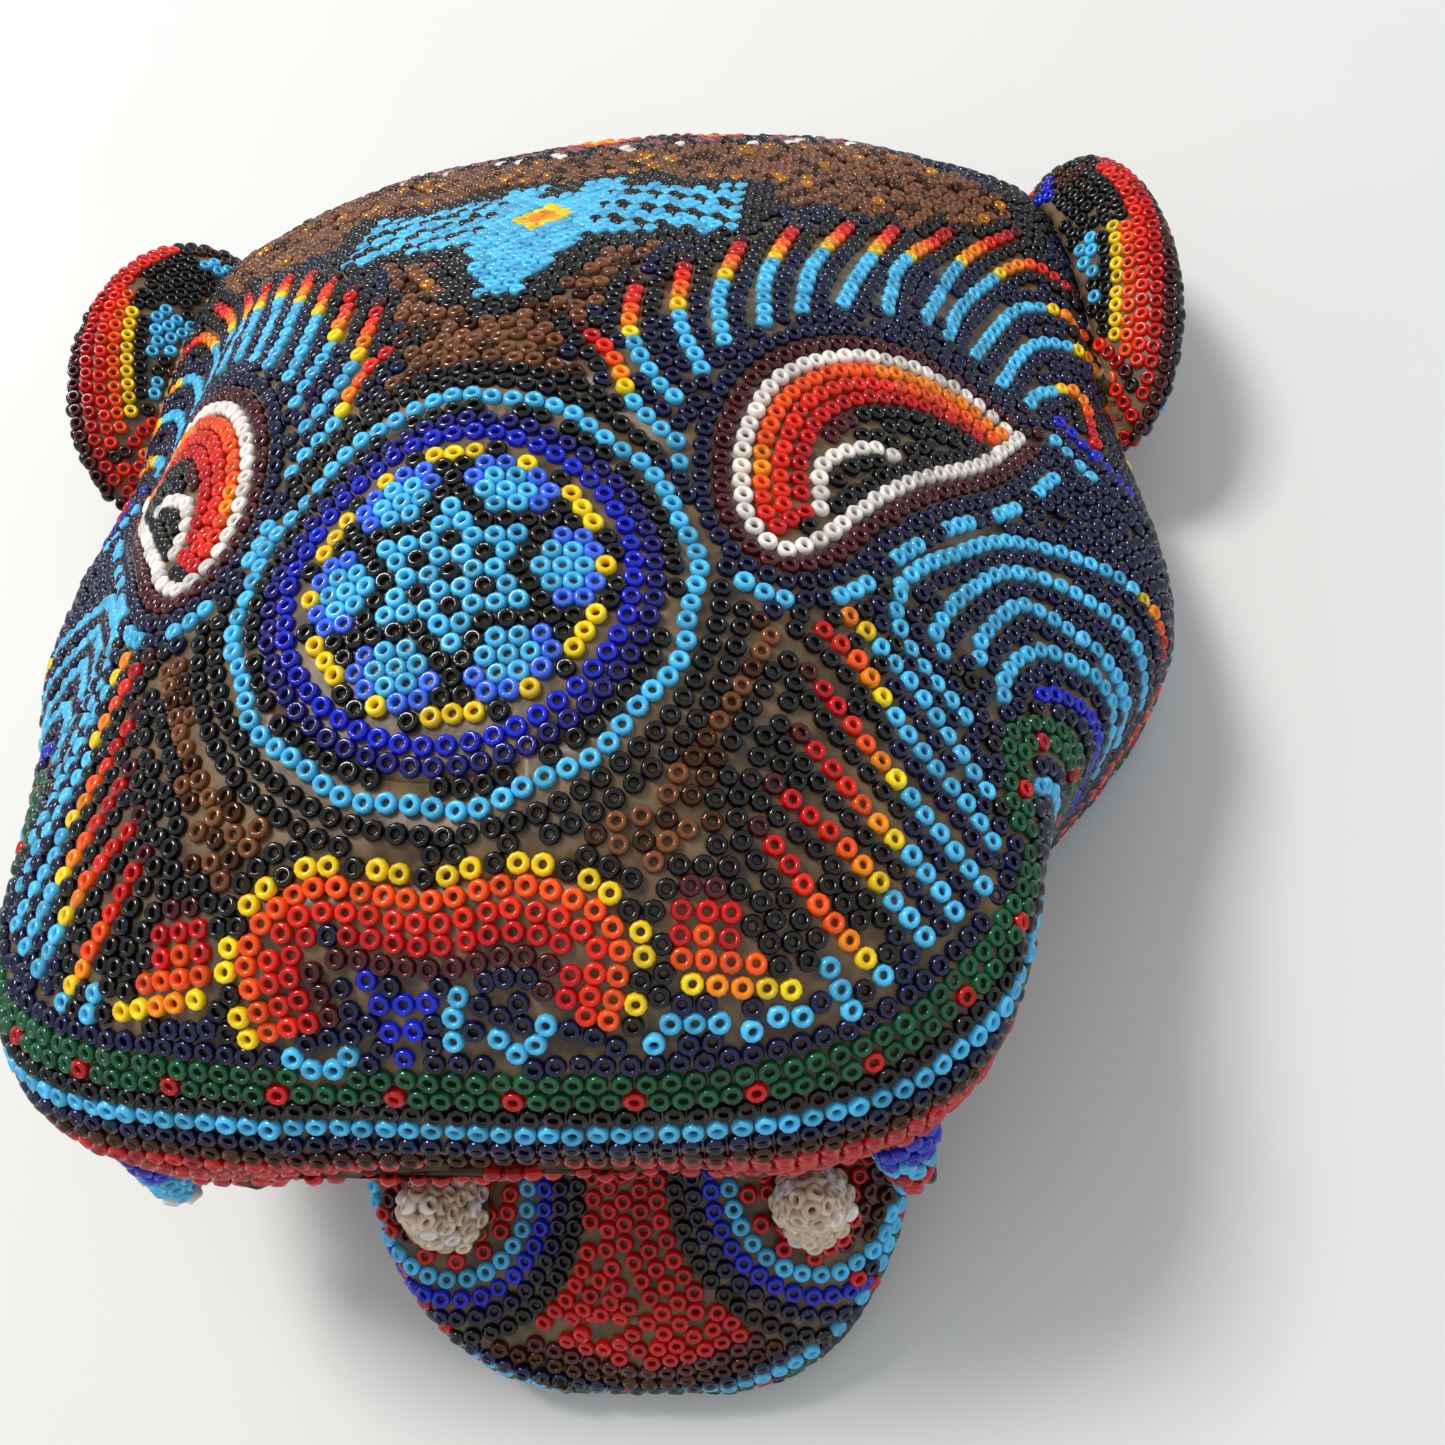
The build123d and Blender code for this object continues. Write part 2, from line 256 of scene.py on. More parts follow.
class Board:
    """The outer surface of all bead layers, and the beads that are set on it.

    The left half of the surface is the right half mirrored about the leaning middle. Only the left lower
    canine keeps its own CAD layer.
    """

    # A face on the outside of its layer looks away from the wood: this is the least cosine.
    FACING = 0.45
    # These layers cross the middle: their right half is taken twice, the second time mirrored.
    TWO_HALVES = ("lip_band_beads", "mouth_roof_beads", "crown_band_beads", "forehead_beads")

    def __init__(self, pitch):
        self.pitch = pitch
        self.grid = {}
        self.at, self.up, self.code, self.node, self.between = [], [], [], [], []
        self.nodes = sorted(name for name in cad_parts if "beads" in name)
        skins, owner, wood = [], [], {}
        for number, node in enumerate(self.nodes):
            if node.endswith("left") and family(node, "core") != "lower_fang_core_left":
                continue
            backing = family(node, "core")
            if backing not in wood:
                wood[backing] = tree_of(triangles_of(backing))
            faces = triangles_of(node)
            middles = faces.mean(axis=1)
            nearest = np.array([tuple(wood[backing].find_nearest(middle)[0]) for middle in middles.tolist()])
            rise = middles - nearest
            normal = np.cross(faces[:, 1] - faces[:, 0], faces[:, 2] - faces[:, 0])
            normal /= np.linalg.norm(normal, axis=1)[:, None] + 1e-12
            facing = np.einsum("ij,ij->i", rise, normal) / (np.linalg.norm(rise, axis=1) + 1e-9)
            outer = faces[facing > self.FACING]
            twin = None
            if node.endswith("right") and node != "lower_fang_beads_right":
                twin = self.nodes.index(node.replace("right", "left"))
            elif node in self.TWO_HALVES:
                middle = outer.mean(axis=1)
                outer = outer[middle[:, 0] > lean(middle[:, 1], middle[:, 2])]
                twin = number
            skins.append(outer)
            owner.append(np.full(len(outer), number))
            if twin is not None:
                other = outer[:, ::-1].copy()
                other[..., 0] = 2 * lean(other[..., 1], other[..., 2]) - other[..., 0]
                skins.append(other)
                owner.append(np.full(len(other), twin))
        self.owner = np.concatenate(owner)
        self.faces = np.concatenate(skins)
        self.skin = tree_of(self.faces)

    def cell(self, place):
        """Cell of the occupancy grid, whose cells are one pitch wide."""
        return tuple(int(math.floor(c / self.pitch)) for c in place)

    def near(self, place, reach):
        """Numbers of the beads closer than reach, which is at most two pitches."""
        i, j, k = self.cell(place)
        span = range(-1, 2) if reach <= self.pitch else range(-2, 3)
        found = []
        for a in span:
            for b in span:
                for c in span:
                    for n in self.grid.get((i + a, j + b, k + c), ()):
                        if (self.at[n] - place).length < reach:
                            found.append(n)
        return found

    def snap(self, place):
        """Nearest place on the surface, its normal and its triangle."""
        spot, normal, index, _ = self.skin.find_nearest(Vector(place))
        return spot, normal, index

    def snap_all(self, points):
        """Nearest places on the surface to all the points, and the normals there."""
        spots = [self.snap(point) for point in points]
        return np.array([spot[0] for spot in spots]), np.array([spot[1] for spot in spots])

    def drop(self, x, y, height=200):
        """The surface straight below a point at this height, or None."""
        return self.skin.ray_cast(Vector((x, y, height)), Vector((0, 0, -1)))[0]

    def set_bead(self, place, code, between=".", room=0.84):
        """Press one bead in if there is room for it."""
        spot, normal, index = self.snap(place)
        if self.near(spot, room * self.pitch):
            return False
        number = len(self.at)
        self.at.append(spot)
        self.up.append(normal)
        self.code.append(code)
        self.between.append(between)
        self.node.append(int(self.owner[index]))
        self.grid.setdefault(self.cell(spot), []).append(number)
        return True

    def trace(self, points):
        """The smooth line through the points, laid on the surface: places and normals."""
        return self.snap_all(smooth_line(points).tolist())

    def beside(self, line, shift):
        """A line moved sideways on the surface by shift, along normal x tangent, without its own tangles."""
        places, normals = line
        tangent = np.gradient(places, axis=0)
        side = np.cross(normals, tangent)
        side /= np.linalg.norm(side, axis=1)[:, None] + 1e-9
        moved = places
        parts = max(1, int(abs(shift) / self.pitch))
        for _ in range(parts):
            moved = self.snap_all((moved + side * shift / parts).tolist())[0]
        gap = np.linalg.norm(moved[:, None] - places[None], axis=2).min(axis=1)
        keep = gap > abs(shift) * 0.86
        if keep.sum() < 3:
            return moved[:0], normals[:0]
        return self.snap_all(moved[keep].tolist())

    def thread(self, line, code, between=".", cycle=False, room=0.84, even=False):
        """Beads one pitch apart along a line, coloured by the code from its start."""
        places = line[0]
        if len(places) < 2:
            return
        run = run_along(places)
        step = self.pitch
        if even:
            step = run[-1] / max(1, round(run[-1] / self.pitch))
        marks = np.arange(0, run[-1] + step * 0.3, step)
        spots = np.stack([np.interp(marks, run, places[:, axis]) for axis in range(3)], axis=1)
        for index, spot in enumerate(spots.tolist()):
            if self.skin.find_nearest(spot)[3] < 0.6 * self.pitch:
                self.set_bead(spot, pick(code, index, cycle), pick(between, index), room)

    def string(self, points, code, between=".", cycle=False, **more):
        """A row of beads through the given points."""
        self.thread(self.trace(points), code, between, cycle, **more)

    def both(self, points, code, between=".", cycle=False, **more):
        """The same row on the right and the left half."""
        self.string(points, code, between, cycle, **more)
        self.string(mirrored(points), code, between, cycle, **more)

    def echo(self, points, code):
        """Rows of lesser rank one pitch to each side of the row through the points, on both halves."""
        for turn, _ in HALVES:
            line = self.trace(turn(points))
            for shift in (self.pitch, -self.pitch):
                self.thread(self.beside(line, shift), code, ".", room=0.86)

    def ring(self, x, y, radius, code, between=".", cycle=False, wave=0.0, waves=8, height=200):
        """A round row seen from above; wave makes its radius rise and fall."""
        turn = np.linspace(0, 2 * math.pi, 145)
        reach = radius + wave * np.sign(np.sin(waves * turn)) * np.abs(np.sin(waves * turn)) ** 0.5
        spots = [self.drop(x + r * math.cos(t), y + r * math.sin(t), height) for r, t in zip(reach, turn)]
        spots = [tuple(s) for s in spots if s is not None]
        self.thread(self.snap_all(spots), code, between, cycle, even=True)


def disc_colour(a, b):
    """Colour of the nose disc's bead at lattice steps a and b: a six-pointed star, petals and arms."""
    x, y = a + b / 2, b * math.sqrt(3) / 2
    radius = math.hypot(x, y)
    turn = math.degrees(math.atan2(y, x)) % 60
    from_petal = min(turn, 60 - turn)
    square = round(radius * radius)
    if square in (0, 3, 9):
        return "K"
    if square <= 7 or (square == 12 and from_petal > 25):
        return "T"
    across = radius * math.sin(math.radians(from_petal))
    along = radius * math.cos(math.radians(from_petal))
    petal = math.hypot(across, along - 5.0)
    from_arm = radius * math.sin(math.radians(30 - from_petal))
    if petal < 1.1:
        return "T"
    if 6.8 < radius < 7.1 and from_arm < 1.1:
        return "Y"
    if abs(radius - 7.0) < 0.1 and from_petal < 2:
        return "Y"
    if petal < 2.1 and along > 4.6 and radius < 6.9 and from_arm > 0.8:
        return "P"
    if radius < 6.5:
        return "K"
    if radius < 7.9:
        return "Z"
    return "V" if radius < 8.75 else "K"


def lay_nose_disc(board):
    """Hexagonal lattice on the disc, then the turquoise zigzag ring round it."""
    step = board.pitch * 0.985
    limit = 10
    cells = [(a, b) for a in range(-limit, limit + 1) for b in range(-limit, limit + 1)]
    cells.sort(key=lambda c: (c[0] + c[1] / 2) ** 2 + 0.75 * c[1] ** 2)
    tilt = math.radians(4)
    for a, b in cells:
        x, y = a + b / 2, b * math.sqrt(3) / 2
        radius = math.hypot(x, y)
        if radius > LATTICE_RADIUS:
            continue
        shrink = 1 - 0.0009 * radius * radius
        u = (x * math.cos(tilt) - y * math.sin(tilt)) * step * shrink
        v = (x * math.sin(tilt) + y * math.cos(tilt)) * step * shrink
        spot = board.drop(DISC_X + u, DISC_Y + v)
        board.set_bead(spot, disc_colour(a, b), "K", 0.8)
    board.ring(DISC_X, DISC_Y, 22.3, "T", "K", wave=0.35, waves=12)
    board.ring(DISC_X, DISC_Y, 16.8, "Z", "K")
    board.ring(DISC_X, DISC_Y, 18.7, "V", "K")
    board.ring(DISC_X, DISC_Y, 20.4, "K", "K")


def lay_eyes(board):
    """White and maroon outlines, a navy row outside, and arches of red and orange round the pupil."""
    for turn, sign in HALVES:
        white = board.trace(turn(EYE_LINE))
        board.thread(white, "W", ".", even=True)
        maroon = board.beside(white, sign * board.pitch)
        board.thread(maroon, "M", "N")
        board.set_bead(turn([(61, 18.8, 32)])[0], "M", "N")
        navy = board.beside(white, sign * board.pitch * 2)
        board.thread(navy, "N", "N")
        dots = board.beside(white, sign * board.pitch * 3)
        half = len(dots[0]) * 11 // 20
        board.thread((dots[0][:half], dots[1][:half]), "NTTTN", "N", cycle=True)
        board.string(turn(PUPIL), "W", "K")
        arch = board.trace(turn(EYE_ARCH))
        for level, code in enumerate(ARCH_ROWS):
            inner = board.beside(arch, -sign * board.pitch * (level + 1) * 0.97)
            board.thread(inner, code, "K", room=0.8)
    # The bar behind each eye tip.
    board.both([(61.8, 20, 31), (67, 13.6, 29)], "T", "N")
    board.both([(64, 22.6, 28.6), (72, 14, 24)], "Z", "N")


def lay_nose_pad(board):
    """Arched rows from dotted yellow through orange and red to maroon and navy, with curls inside."""
    arch = board.trace(PAD_ARCH)
    board.thread(arch, "YYK", "K", cycle=True)
    rows = [board.beside(arch, -board.pitch * (level + 1) * ROW_GAP) for level in range(5)]
    for row, code in zip(rows[:4], "OrRM"):
        board.thread(row, code, "N", room=0.8)
    curls = [
        ("T", [(1.2, -62.4), (1.8, -59.6), (4.2, -57.4), (7.2, -57), (9.6, -59), (9.4, -61.8), (7, -63.6),
               (4.8, -62)]),
        ("T", [(-13, -57.2), (-9.6, -57.2), (-8.4, -59.2), (-10.8, -60)]),
        ("T", [(-13.6, -61.6), (-13.4, -63.8), (-9.6, -64), (-8, -62.2)]),
        ("Z", [(-6, -57.6), (-0.6, -57.6)]), ("Z", [(-5, -59.6), (-0.8, -59.6)]),
        ("Z", [(-4.4, -61.6), (-1.2, -61.6)]), ("Z", [(-3.6, -63.6), (-1.8, -63.6)]),
    ]
    for code, line in curls:
        board.string([tuple(board.drop(x, y)) for x, y in line], code, "N")
    board.thread(rows[4], "N", "N", room=0.8)


def lay_lip(board):
    """Rows that follow the upper lip, one under the other."""
    lip = board.trace(LIP_LINE)
    rows = ("N", "G", "GGGGR", "K", "T", "N", "b", "R", "R", "R")
    board.thread(lip, "N", "N")
    line = lip
    for code in rows[1:]:
        line = board.beside(line, -board.pitch * ROW_GAP)
        board.thread(line, code, "R" if code == "R" else "N", cycle=True, room=0.8)


def lay_cheeks(board):
    """Nested arcs over each cheek, round a green and red curl at the mouth's corner."""
    board.both(GREEN_ARC, "G", "K")
    for turn, sign in HALVES:
        dots = board.beside(board.trace(turn(GREEN_ARC)), sign * board.pitch * 0.95)
        board.thread(dots, "GGRG", "K", cycle=True)
    board.both(INNER_ARC, "T", "N")
    board.both(ROYAL_ARC, "Z", "N")
    for arc in reversed(CHEEK_ARCS):
        board.both(arc, "RrOAYT" if len(arc) > 8 else "T", "N")


def lay_muzzle(board):
    """Rows that fan from the patch beside the nose down to the lip, with flame-coloured tips."""
    for code, row in FAN_ROWS:
        board.both(row, code, "K" * (len(code) + 1) + "N")
    for code, start, end, y in TRIANGLE_ROWS:
        ends = [tuple(board.drop(x, y)) for x in (start, end)]
        board.both(ends, code, "K")
    board.both([tuple(board.drop(19, -59.6)), tuple(board.drop(21.2, -59.2))], "Y", "N")
    crenels = [[(18, -64.4), (19, -62)], [(20.2, -61.4), (24.6, -61.2)], [(23.6, -63.6), (23.8, -63.8)],
               [(27, -63.4), (27.2, -61)], [(29.4, -60.6), (31.8, -60.4)], [(32.2, -62.8), (32.4, -63)]]
    for line in crenels:
        board.both([tuple(board.drop(x, y)) for x, y in line], "T", "N")


def lay_brows(board):
    """Stripes that rise from each eye over the brow, with flame-coloured tips."""
    for index, stripe in enumerate(BROW_STRIPES):
        tip = "MRrOAY" if index < 7 else "MRRrOAAY"
        board.both(stripe, tip + "T", "K" * (len(tip) - 1) + "N")


def lay_between(board):
    """Rows of the ground colour beside the patterned rows, and the brown patches beside the nose."""
    for radius in (24.6, 26.7):
        board.ring(DISC_X, DISC_Y, radius, "K")
    for shift, code in BROWN_ROWS:
        line = [(27.5 + shift * 0.8, -18.5), (28 + shift * 0.9, -26), (23.5 + shift, -35),
                (19 + shift, -42), (18.6 + shift, -48)]
        spots = [tuple(board.drop(x, y)) for x, y in line if inside(x, y, PATCH)]
        if len(spots) > 1:
            board.both(spots, code, cycle=True)
    for code, row in FAN_ROWS:
        board.echo(row, "K" * len(code) + "N")
    for arc in CHEEK_ARCS + [ROYAL_ARC, INNER_ARC]:
        board.echo(arc, "N")
    for index, stripe in enumerate(BROW_STRIPES):
        board.echo(stripe, "K" * (4 if index < 7 else 6) + "N")


def bird_colour(x, y):
    """A two-winged bird seen from above: body, neck and stepped wings; dot where the ground shows."""
    across, up = abs(x), y - 46
    if across + abs(up) < 2.4:
        return "A"
    if across + abs(up) < 5.2:
        return "Y"
    if across < 7.5 and abs(up) < 10:
        return "T"
    if -27 < up <= -10 and across < 7.5 - 0.32 * (-10 - up):
        return "T"
    if 7.5 <= across < 25 and abs(up - 1) < 12 - 0.12 * across:
        step = (up + 0.5 * across) / 2.1
        return "K" if math.floor(step) % 3 == 0 else "T"
    if 10 <= up < 17 and 2.5 < across < 11:
        return "T" if across < 8.5 else "K"
    return "."


def lay_bird(board):
    """Brick-laid rows across the forehead, coloured by the bird's outline with a black edge."""
    rows = 30
    step = board.pitch
    y = 17.0
    for row in range(rows):
        line = [board.drop(x, y) for x in np.linspace(-28, 28, 57)]
        line = np.array([tuple(s) for s in line if s is not None])
        run = run_along(line)
        middle = np.interp(0, line[:, 0], run)
        marks = middle + (np.arange(-14, 15) + 0.5 * (row % 2)) * step
        for mark in marks[(marks > 0) & (marks < run[-1])]:
            spot = [np.interp(mark, run, line[:, axis]) for axis in range(3)]
            code = bird_colour(spot[0], spot[1])
            if code == "." and any(bird_colour(spot[0] + u, spot[1] + v) != "." for u, v in
                                   ((2.2, 0), (-2.2, 0), (0, 2.2), (0, -2.2))):
                code = "K"
            if code != ".":
                board.set_bead(spot, code, "K", 0.8)
        here, ahead = board.drop(0, y), board.drop(0, y + 1)
        y += step * 0.9 / max(1.0, (ahead - here).length)
        if y > 65:
            break


def lay_jaw(board):
    """Rows round each lower canine, and rows that follow the jaw's rim."""
    for side in (-1, 1):
        for radius, code in ((8.8, "T"), (10.8, "Z"), (12.7, "N"), (14.6, "K")):
            board.ring(JAW_MIDDLE + side * CANINE_X, CANINE_Y, radius, code, "R", height=24)
    rim = board.trace([(x + JAW_MIDDLE, y, z) for x, y, z in RIM_LINE])
    line = rim
    board.thread(rim, "M", "R")
    for code in ("b", "N", "T", "GGGR", "N"):
        line = board.beside(line, -board.pitch * ROW_GAP)
        board.thread(line, code, "N", cycle=True, room=0.8)


def lay_ears(board):
    """Flame rows along each ear's rim."""
    rim = [(72, 79, 16), (78, 69, 24), (80, 57, 26), (79, 44, 25), (77, 34, 21), (73, 27, 13)]
    board.both(rim, "R", "K")
    for turn, sign in HALVES:
        line = board.trace(turn(rim))
        for shift, code in ((-1, "r"), (-2, "O"), (-3, "Y"), (1, "M"), (2, "K")):
            board.thread(board.beside(line, sign * shift * board.pitch * 0.95), code, "K", room=0.8)


def lay_base(board):
    """Level rows round the foot of the head, found by looking in from outside."""
    turn = np.linspace(math.radians(-62), math.radians(242), 420)
    for level, code in enumerate(("K", "T", "N", "GGGR", "N", "O", "R")):
        height = 1.2 + level * board.pitch * 0.95
        line = []
        for angle in turn:
            outside = Vector((150 * math.cos(angle), 20 + 150 * math.sin(angle), height))
            aim = Vector((-math.cos(angle), -math.sin(angle), 0))
            hit = board.skin.ray_cast(outside, aim)[0]
            if hit is not None and hit.y > -30:
                line.append(tuple(hit))
        board.thread((np.array(line), None), code, "N", cycle=True)


def ear_colour(place, side):
    """Colour on an ear: a figure on its front, flame rows on its rim, petals on its back."""
    x = side * (place[0] - EAR_MIDDLE)
    y, z = place[1] - 54, place[2] - 14
    lean_angle = math.radians(40)
    through = (x - EAR_REACH) * math.cos(lean_angle) + z * math.sin(lean_angle)
    along = -(x - EAR_REACH) * math.sin(lean_angle) + z * math.cos(lean_angle)
    edge = math.hypot(y / 26, along / 15.5)
    if through < 0:
        petals = math.sin(y / 2.6) * math.cos(along / 2.4)
        return "W" if petals > 0.35 else "Z" if edge > 0.7 else "K"
    if edge < 0.85 and math.cos(y / 4.2) + 0.5 * math.cos(along / 2.2) > -0.15:
        return "T"
    return "b" if abs(y) > 18 else "K"


def flame_colour(x, y, z):
    """Diamonds from yellow through orange to red along the crown, with a dotted border before them."""
    reach = y + max(0.0, 26 - z) * 0.6
    if reach < 83:
        return "K" if (int(x * 0.47) + int(reach * 0.47)) % 4 else "W"
    if reach < 86.5:
        return "D" if int(x * 0.47) % 3 else "K"
    width = 19.0
    across = abs((x + width / 2) % width - width / 2)
    depth = abs(((reach - 86.5) % 19) - 9.5)
    size = across + depth * 0.9
    return "Y" if size < 3 else "A" if size < 5 else "O" if size < 7.2 else "R" if size < 9.5 else "K"


def ground_colour(place, rise, node, chance):
    """Colour of a bead that belongs to no row, by where it lies."""
    x, y, z = place
    local = abs(x - float(lean(y, z)))
    if "upper_fang" in node:
        return "N" if z > 36 else "Z" if z > 30 else "T" if z > 25 else "W"
    if "lower_fang" in node:
        return "C" if chance < 0.7 else "W"
    if node.startswith("ear"):
        return ear_colour(place, 1 if node.endswith("right") else -1)
    if node.startswith("mouth"):
        return "R"
    if node == "jaw_rim_beads":
        return "R" if rise > 0.3 else "N" if int(z / 2.1) % 2 else "K"
    if node.startswith("eye"):
        return "K"
    if node.startswith("crown"):
        return flame_colour(x, y, z)
    if inside(local, y, PATCH):
        return "b" if chance < 0.3 else "B"
    if node.startswith(("brow", "cheek")) or (y < -14 and z < 48):
        return "N"
    if node.startswith(("muzzle", "nose", "lip")):
        return "K"
    if z < 24 and y > -20:
        return "N" if int((z + y * 0.5) / 6.4) % 2 else "K"
    return "b" if chance < 0.22 else "g" if chance < 0.28 else "B"


def relax(board, first, rounds=5):
    """Even out the fill: beads from number first on are pushed off neighbours that stand too close."""
    pitch = board.pitch
    for _ in range(rounds):
        for number in range(first, len(board.at)):
            here = board.at[number]
            push = Vector((0, 0, 0))
            for other in board.near(here, pitch):
                if other != number:
                    away = here - board.at[other]
                    push += away.normalized() * (pitch - away.length)
            if push.length > 0.02:
                spot, normal, index = board.snap(here + push * 0.45)
                board.grid[board.cell(here)].remove(number)
                board.grid.setdefault(board.cell(spot), []).append(number)
                board.at[number], board.up[number], board.node[number] = spot, normal, int(board.owner[index])


def fill_board(board):
    """Close the gaps: each bead and each neighbour offer the two places that touch both of them."""
    rows = len(board.at)
    seeds = KDTree(rows)
    for number in range(rows):
        seeds.insert(board.at[number], number)
    seeds.balance()
    draw = random.Random(FILL_SEED)
    pitch = board.pitch

    def try_place(place, room):
        spot, normal, index = board.snap(place)
        if (spot - Vector(place)).length > pitch * 0.6 or board.near(spot, room * pitch):
            return
        node = board.nodes[int(board.owner[index])]
        chance = draw.random()
        _, nearest, gap = seeds.find(spot)
        code = board.between[nearest] if gap < 1.6 * pitch else "."
        if code == ".":
            code = ground_colour(spot, normal.z, node, chance)
        if code == "K" and node.startswith(("forehead", "temple")) and gap > 1.25 * pitch:
            code = ground_colour(spot, normal.z, node, chance)
        board.set_bead(spot, code, ".", room)

    def advance(start):
        number = start
        while number < len(board.at):
            here, normal = board.at[number], board.up[number]
            for other in board.near(here, 1.45 * pitch):
                if other == number:
                    continue
                span = board.at[other] - here
                width = span.length
                rise = math.sqrt(max(pitch * pitch - width * width / 4, 0.2))
                side = normal.cross(span).normalized()
                for way in (1, -1):
                    try_place(here + span / 2 + side * (rise * way), 0.9)
            number += 1

    advance(0)
    sampler = np.random.default_rng(DART_SEED)
    a, b, c = board.faces[:, 0], board.faces[:, 1], board.faces[:, 2]
    area = np.linalg.norm(np.cross(b - a, c - a), axis=1)
    chosen = sampler.choice(len(area), DARTS, p=area / area.sum())
    share = np.sqrt(sampler.random((DARTS, 1)))
    other = sampler.random((DARTS, 1))
    darts = a[chosen] * (1 - share) + b[chosen] * share * (1 - other) + c[chosen] * share * other
    for dart in darts.tolist():
        start = len(board.at)
        if not board.near(Vector(dart), 1.3 * pitch):
            try_place(Vector(dart), 0.9)
            advance(start)
    relax(board, rows)
    for room in (0.88, 0.84, 0.8):
        attempt = round(room * 100)
        start = len(board.at)
        for number in range(start):
            here, normal = board.at[number], board.up[number]
            side = normal.orthogonal().normalized()
            ahead = normal.cross(side)
            for turn in range(8):
                angle = math.radians(45 * turn + 22 * attempt)
                try_place(here + (side * math.cos(angle) + ahead * math.sin(angle)) * pitch, room)
        if len(board.at) > start:
            advance(start)
        relax(board, rows)


def even_normals(board):
    """Each bead's axis is the mean of the surface normals about it, so that facets don't show."""
    tree = KDTree(len(board.at))
    for number, place in enumerate(board.at):
        tree.insert(place, number)
    tree.balance()
    axes = []
    for place, up in zip(board.at, board.up):
        total = Vector(up)
        for _, other, _ in tree.find_range(place, 2.2 * board.pitch):
            if board.up[other].dot(up) > 0.55:
                total += board.up[other]
        axes.append(total.normalized())
    return np.array(axes)


LAYOUT = {}
ROWS_BY_RANK = (
    lay_nose_disc, lay_eyes, lay_nose_pad, lay_lip, lay_cheeks, lay_muzzle, lay_brows, lay_bird, lay_jaw,
    lay_ears, lay_base, lay_between,
)


def beadwork(settings):
    """The whole layout, worked out once: rows in order of rank, then the fill."""
    if "board" not in LAYOUT:
        board = Board(settings.pitch / MM)
        for lay in ROWS_BY_RANK:
            lay(board)
        rows = len(board.at)
        fill_board(board)
        print("beads in rows", rows, "all beads", len(board.at))
        LAYOUT["board"] = board
        LAYOUT["at"] = np.array([tuple(p) for p in board.at])
        LAYOUT["axis"] = even_normals(board)
        LAYOUT["node"] = np.array(board.node)
        LAYOUT["code"] = np.array(board.code)
    return LAYOUT


def bead_profile(settings):
    """Half section of one bead as (radius, height): a rounded ring with a round hole, closed on itself."""
    outer = settings.bead_diameter / 2
    hole = settings.hole_diameter / 2
    tall = settings.bead_height
    return np.array([
        (hole, 0.22 * tall), (hole * 1.02, 0.80 * tall), ((outer + hole) / 2, tall),
        (outer * 0.93, 0.80 * tall), (outer, 0.48 * tall), (outer * 0.80, 0.06 * tall),
    ])


def glass_material(letter, tone, number):
    """Glass of one colour and tone: glossy, with a clear coat, its colour set on the shader itself."""
    name, colour, rough = GLASS[letter]
    label = f"{name}_glass_{number}"
    if label in bpy.data.materials:
        return bpy.data.materials[label]
    material = bpy.data.materials.new(label)
    material.use_nodes = True
    shader = material.node_tree.nodes["Principled BSDF"]
    shader.inputs["Base Color"].default_value = [min(1.0, c * tone) for c in colour] + [1]
    shader.inputs["Roughness"].default_value = rough
    shader.inputs["Metallic"].default_value = METAL.get(letter, 0.0)
    shader.inputs["Coat Weight"].default_value = 0.1
    shader.inputs["Coat Roughness"].default_value = 0.06
    return material


